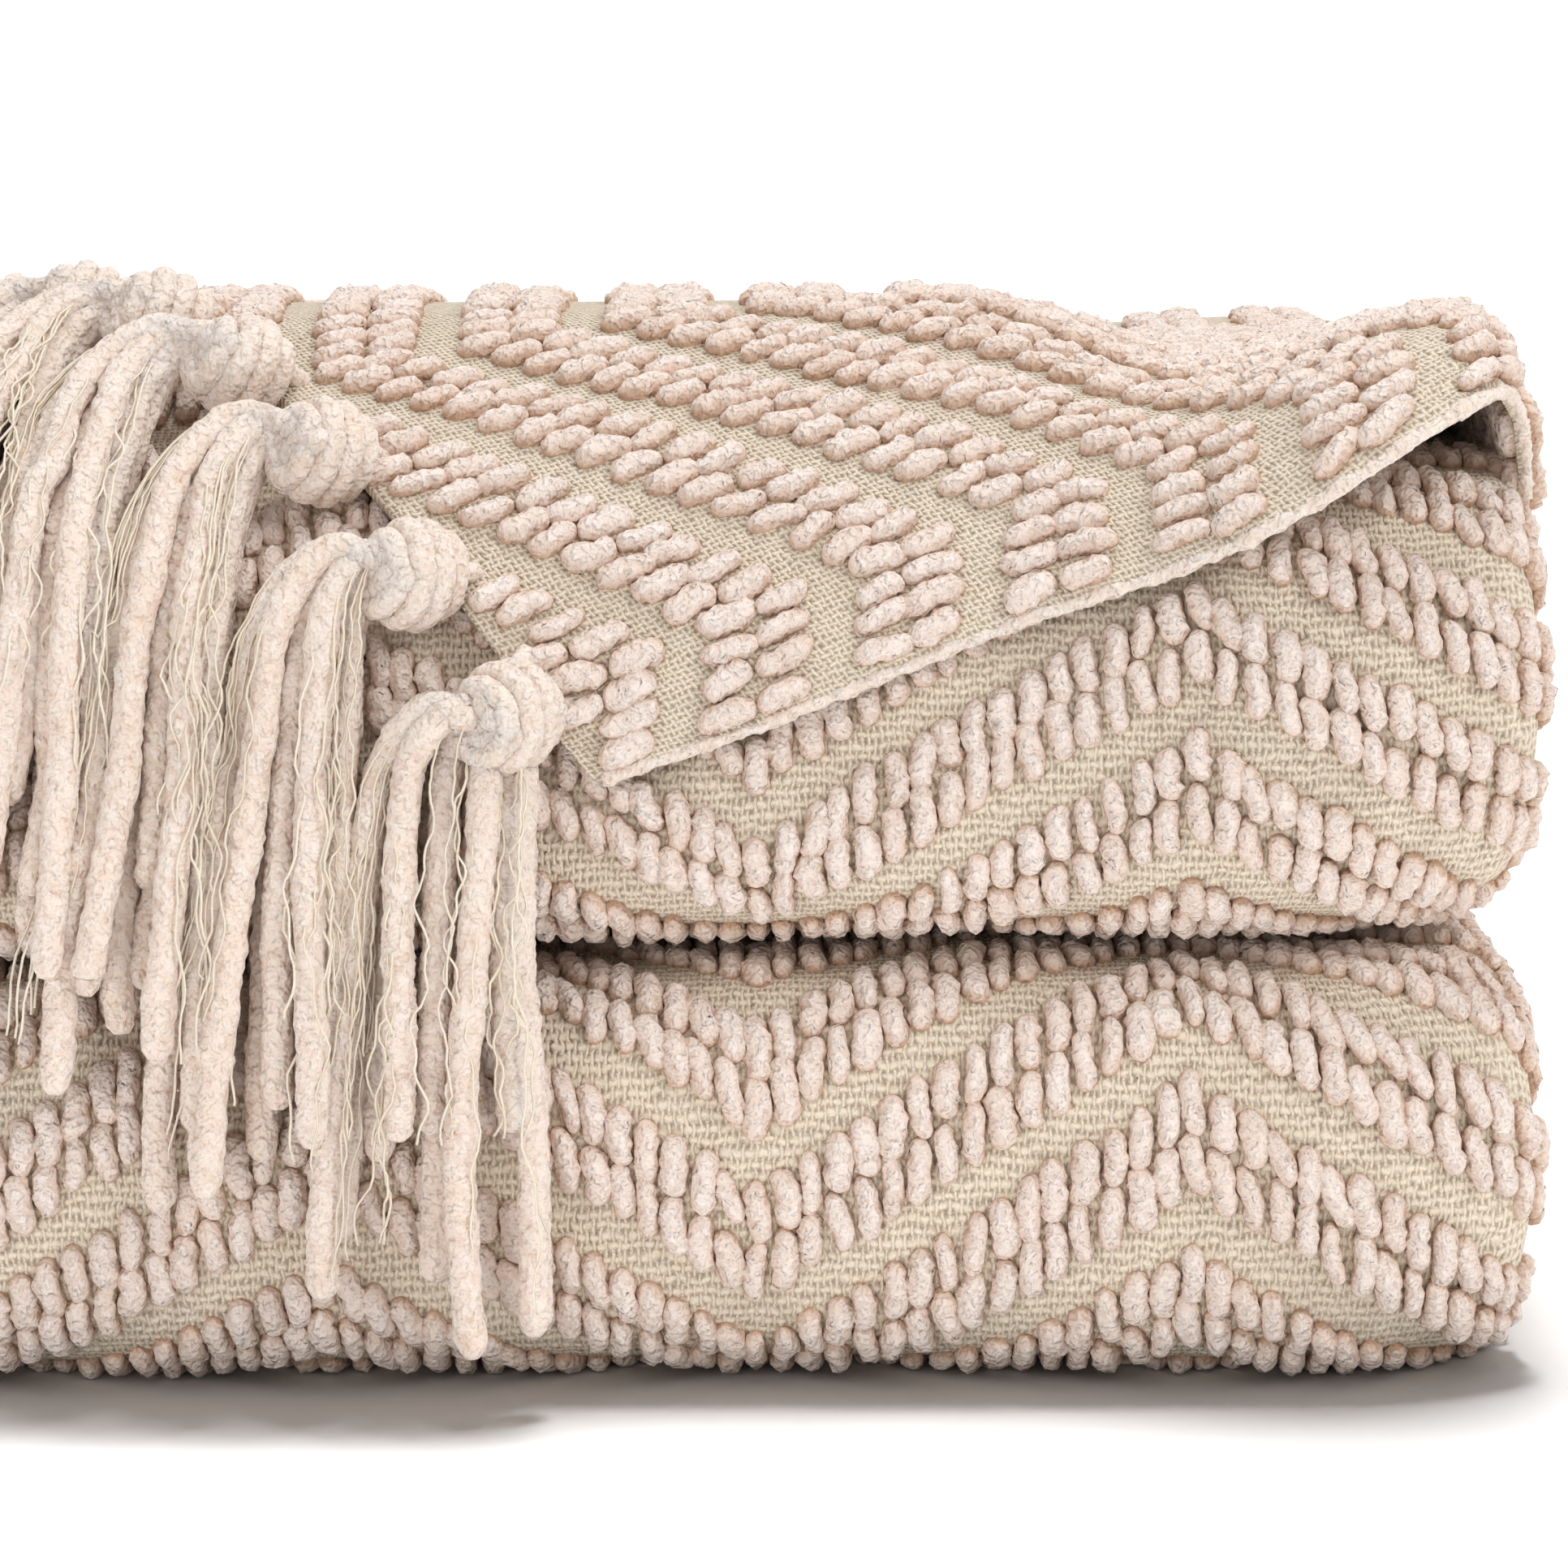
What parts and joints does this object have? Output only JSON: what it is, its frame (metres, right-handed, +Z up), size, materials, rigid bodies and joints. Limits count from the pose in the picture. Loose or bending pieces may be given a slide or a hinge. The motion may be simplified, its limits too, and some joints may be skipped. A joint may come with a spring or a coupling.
{
  "type": "folded chenille throw blanket",
  "caption": "Chunky woven throw folded into a stack of two bundles, with its fringed top corner turned over the front edge.",
  "frame": {"origin": "on the surface that the stack lies on, under the middle of its bounding box", "axes": "+Z up, +Y from the two rounded front folds to the back, +X to the end over which the top layer turns"},
  "size_m": [0.3372, 0.354, 0.1908],
  "materials": {
    "woven_chenille": "matte, raised chenille chevrons on an open cream ground weave",
    "chenille_yarn": "matte, fuzzy pile yarn with thin cream threads"
  },
  "bodies": {
    "root": {"throw": "woven_chenille", "tassel_1": "chenille_yarn", "tassel_2": "chenille_yarn", "tassel_3": "chenille_yarn", "tassel_4": "chenille_yarn", "tassel_5": "chenille_yarn", "tassel_6": "chenille_yarn", "tassel_7": "chenille_yarn", "tassel_8": "chenille_yarn"}
  },
  "joints": []
}
